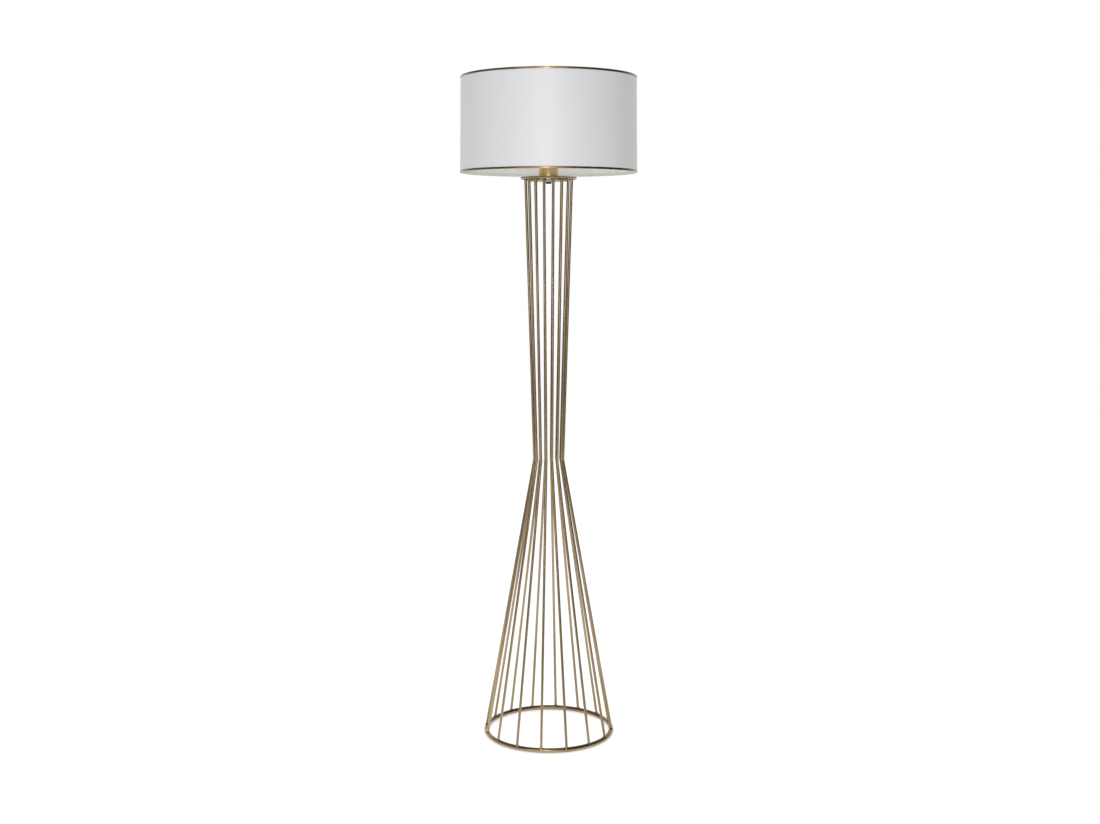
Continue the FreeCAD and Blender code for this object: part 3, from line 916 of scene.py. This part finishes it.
class LampShadeCover(bpy.types.Operator):
    """White cloth cover of the drum, with its glued lap at the back"""

    bl_idname = "lamp.shade_cover"
    bl_label = "Shade Cover"

    def execute(self, context):
        sizes = context.scene.lamp_shade
        bottom_r, low, high = box_size("shade_fabric")
        top_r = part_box("shade_top_wire")[1].x + sizes.lining + sizes.fabric
        bm = lathe(wall_outline(bottom_r, top_r, low, high, sizes.fabric, rows=12), steps=240)
        slackness = 0.0011
        for vert in bm.verts:
            wave = noise.noise(Vector((vert.co.x * 9, vert.co.y * 9, vert.co.z * 5)))
            from_rim = min(vert.co.z - low, high - vert.co.z) / (high - low)
            vert.co.xy *= 1 - max(0.0, wave) * slackness * min(1.0, from_rim * 5)
        wrap_uv(bm)
        add_piece("cover", bm, "shade", "shade_cloth", ["shade_fabric"])
        self.add_lap(sizes, bottom_r, top_r, low, high)
        return {"FINISHED"}

    def add_lap(self, sizes, bottom_r, top_r, low, high):
        """End of the cloth, lapped over its start down the back."""
        bm = bmesh.new()
        outline = wall_outline(bottom_r + sizes.lap_rise, top_r + sizes.lap_rise,
                               low + sizes.tape_height * 0.5, high - sizes.tape_height * 0.5,
                               sizes.lap_rise * 2.5, rows=6)
        bm.faces.new([bm.verts.new((r, 0, z)) for r, z in outline])
        sweep = sizes.lap / bottom_r
        bmesh.ops.spin(bm, geom=bm.faces[:], cent=ORIGIN, axis=UP, angle=sweep, steps=6,
                       use_merge=False, use_duplicate=False)
        bmesh.ops.remove_doubles(bm, verts=bm.verts, dist=MERGE)
        bmesh.ops.recalc_face_normals(bm, faces=bm.faces)
        bmesh.ops.rotate(bm, verts=bm.verts, cent=ORIGIN,
                         matrix=Matrix.Rotation(math.pi / 2 - sweep / 2, 3, "Z"))
        wrap_uv(bm)
        add_piece("cover_lap", bm, "shade", "shade_cloth")


class LampShadeLining(bpy.types.Operator):
    """Stiff white lining inside the cover"""

    bl_idname = "lamp.shade_lining"
    bl_label = "Shade Lining"

    def execute(self, context):
        sizes = context.scene.lamp_shade
        outer, low, high = box_size("shade_liner")
        top_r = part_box("shade_top_wire")[1].x + sizes.lining
        bm = lathe(wall_outline(outer, top_r, low, high, sizes.lining, rows=4), steps=240)
        add_piece("lining", bm, "shade", "shade_lining", ["shade_liner"])
        return {"FINISHED"}


class LampTapes(bpy.types.Operator):
    """Metallic tapes folded over the shade's two edges"""

    bl_idname = "lamp.tapes"
    bl_label = "Edge Tapes"

    def execute(self, context):
        sizes = context.scene.lamp_shade
        wall = sizes.fabric + sizes.lining
        for node, inward in (("bottom_edge_tape", 1), ("top_edge_tape", -1)):
            outer, low, high = box_size(node)
            edge = low if inward > 0 else high
            over = edge + inward * sizes.tape
            end = edge + inward * sizes.tape_height
            inner = outer - sizes.tape
            soft = sizes.tape * 0.45
            bm = lathe(
                ((inner - wall, edge), (outer, edge), (outer, end), (inner, end),
                 (inner, over), (inner - wall, over)),
                ((1, soft, 3), (2, soft, 2)),
                steps=360,
            )
            self.pucker(bm, sizes.pucker, inner)
            wrap_uv(bm)
            add_piece(node.replace("_edge", ""), bm, "shade", "gold_tape", [node])
        return {"FINISHED"}

    def pucker(self, bm, depth, inner):
        """Draw the tape in a little and unevenly, as where it was stretched round."""
        for vert in bm.verts:
            radius = math.hypot(vert.co.x, vert.co.y)
            if radius > inner:
                turn = math.atan2(vert.co.y, vert.co.x)
                ripple = noise.noise(Vector((math.cos(turn) * 40, math.sin(turn) * 40,
                                             vert.co.z * 500)))
                vert.co.xy *= 1 - max(0.0, ripple) * depth / radius


# ---- stage -------------------------------------------------------------------------------


WHITE = (1, 1, 1, 1)
FLOOR_GLOW_SHARE = 0.30
FLOOR_GLOW = 1.90

# What gloss shows: white behind the lamp and dark elsewhere, less so on the left and more
# so on the right.
GLOSS_DARK = 0.08
GLOSS_LEFT = 0.12
GLOSS_RIGHT_LOSS = 0.92

# What lights matt surfaces besides the lights: more from above, less from the right.
ABOVE = 1.10
RIGHT_LOSS = 0.30

LIGHT_TARGET = (0, 0, 1.2)
SOFTBOX = {"place": (-0.30, -2.3, 1.35), "size": (2.8, 1.6)}
STRIP = {"place": (-0.12, -2.1, 1.30), "size": (0.14, 1.3)}


def ray_kinds(nodes):
    """Whether a ray is a camera, a glossy or a transmission ray."""
    path = nodes.add("ShaderNodeLightPath").socket.node.outputs
    return [Value(nodes, path[f"Is {kind} Ray"]) for kind in ("Camera", "Glossy", "Transmission")]


def floor_finish(colours):
    """Pale floor that the camera sees nearly white, and that keeps the lamp's shadow."""
    nodes = Finish("studio_floor")
    grain = nodes.noise(nodes.coordinates(), 90.0, 2.0)
    tint = nodes.mix_colours(grain * 0.05, colours.floor, (0.80, 0.80, 0.80, 1))
    lit = nodes.add("ShaderNodeBsdfDiffuse", {}, {"Color": tint})
    glow = nodes.add("ShaderNodeEmission", {}, {"Color": WHITE, "Strength": FLOOR_GLOW})
    camera, glossy, through = ray_kinds(nodes)
    seen = camera.math("MAXIMUM", glossy).math("MAXIMUM", through)
    mixed = nodes.add("ShaderNodeMixShader", {}, {0: seen * FLOOR_GLOW_SHARE, 1: lit, 2: glow})
    nodes.add("ShaderNodeOutputMaterial", {}, {"Surface": mixed})
    return nodes.material


def studio_world(ambient):
    """Surroundings: white to the camera and through clear pieces, shaped for gloss."""
    world = bpy.data.worlds.new("studio")
    world.use_nodes = True
    nodes = Nodes(world.node_tree)
    x, y, z = nodes.split(nodes.coordinates("Generated"))
    camera, glossy, through = ray_kinds(nodes)
    behind = y.ramp(0.35, 0.95)
    right = x.ramp(0.40, 0.85) * (1 - y.ramp(0.0, 0.75))
    left = (0 - x).ramp(0.5, 0.95)
    gloss = ((GLOSS_DARK + behind * (1 - GLOSS_DARK) + left * GLOSS_LEFT)
             * (1 - right * GLOSS_RIGHT_LOSS))
    soft = ambient * (1 - x.ramp(-0.2, 1.0) * RIGHT_LOSS) + z.ramp(0.4, 0.95) * ABOVE
    seen = camera.math("MAXIMUM", through)
    level = soft * (1 - glossy) + gloss * glossy
    strength = level * (1 - seen) + seen
    back = nodes.add("ShaderNodeBackground", {}, {"Color": WHITE, "Strength": strength})
    nodes.add("ShaderNodeOutputWorld", {}, {"Surface": back})
    world.cycles.sampling_method = "NONE"
    return world


def area_light(name, place, size, power):
    """Rectangular light that gloss shows and the camera doesn't."""
    lamp = bpy.data.lights.new(name, "AREA")
    lamp.shape = "RECTANGLE"
    lamp.size, lamp.size_y = size
    lamp.energy = power
    light = bpy.data.objects.new(name, lamp)
    light.location = place
    aim = Vector(LIGHT_TARGET) - Vector(place)
    light.rotation_euler = aim.to_track_quat("-Z", "Y").to_euler()
    light.visible_camera = False
    bpy.context.scene.collection.objects.link(light)


class LampStage(bpy.types.Operator):
    """Floor, surroundings, lights and camera"""

    bl_idname = "lamp.stage"
    bl_label = "Stage"

    def execute(self, context):
        stage = context.scene.lamp_stage
        bm = bmesh.new()
        bmesh.ops.create_circle(bm, cap_ends=True, segments=96, radius=stage.floor_radius)
        mesh = bpy.data.meshes.new("floor")
        bm.to_mesh(mesh)
        bm.free()
        floor = bpy.data.objects.new("floor", mesh)
        mesh.materials.append(floor_finish(context.scene.lamp_colours))
        context.scene.collection.objects.link(floor)
        context.scene.world = studio_world(stage.ambient)
        area_light("softbox", power=stage.key_power, **SOFTBOX)
        area_light("strip", power=stage.strip_power, **STRIP)
        self.add_camera(context.scene, stage)
        context.scene.view_settings.view_transform = "Standard"
        return {"FINISHED"}

    def add_camera(self, scene, stage):
        camera = bpy.data.cameras.new("camera")
        camera.lens = stage.lens
        camera.sensor_width = 36.0
        camera.sensor_fit = "HORIZONTAL"
        view = bpy.data.objects.new("camera", camera)
        view.location = (stage.camera_shift_x, -stage.camera_distance, stage.camera_height)
        view.rotation_euler = (stage.camera_tilt, 0, 0)
        scene.collection.objects.link(view)
        scene.camera = view


# ---- add-on ------------------------------------------------------------------------------

STEPS = (LampBaseRing, LampPads, LampRods, LampWelds, LampTopCap, LampCordEntry, LampCup,
         LampHolder, LampContacts, LampShadeRings, LampShadeFrame, LampShadeCover,
         LampShadeLining, LampTapes, LampStage)

SETTINGS = {
    "lamp_cage": CageSizes,
    "lamp_holder": HolderSizes,
    "lamp_shade": ShadeSizes,
    "lamp_colours": LampColours,
    "lamp_stage": StageSettings,
}


class LampPanel(bpy.types.Panel):
    """Steps that build the lamp, with the sizes and colours they use."""

    bl_idname = "VIEW3D_PT_floor_lamp"
    bl_label = "Floor Lamp"
    bl_space_type = "VIEW_3D"
    bl_region_type = "UI"
    bl_category = "Floor Lamp"

    def draw(self, context):
        for step in STEPS:
            self.layout.operator(step.bl_idname)
        for name, group in SETTINGS.items():
            box = self.layout.box()
            box.label(text=group.__name__)
            for prop in group.__annotations__:
                box.prop(getattr(context.scene, name), prop)


def register():
    for kind in (*SETTINGS.values(), *STEPS, LampPanel):
        bpy.utils.register_class(kind)
    for name, group in SETTINGS.items():
        setattr(bpy.types.Scene, name, PointerProperty(type=group))


def unregister():
    for name in SETTINGS:
        delattr(bpy.types.Scene, name)
    for kind in (LampPanel, *reversed(STEPS), *reversed(SETTINGS.values())):
        bpy.utils.unregister_class(kind)


def main():
    register()
    for step in STEPS:
        family, name = step.bl_idname.split(".")
        getattr(getattr(bpy.ops, family), name)()


if __name__ == "__main__":
    main()
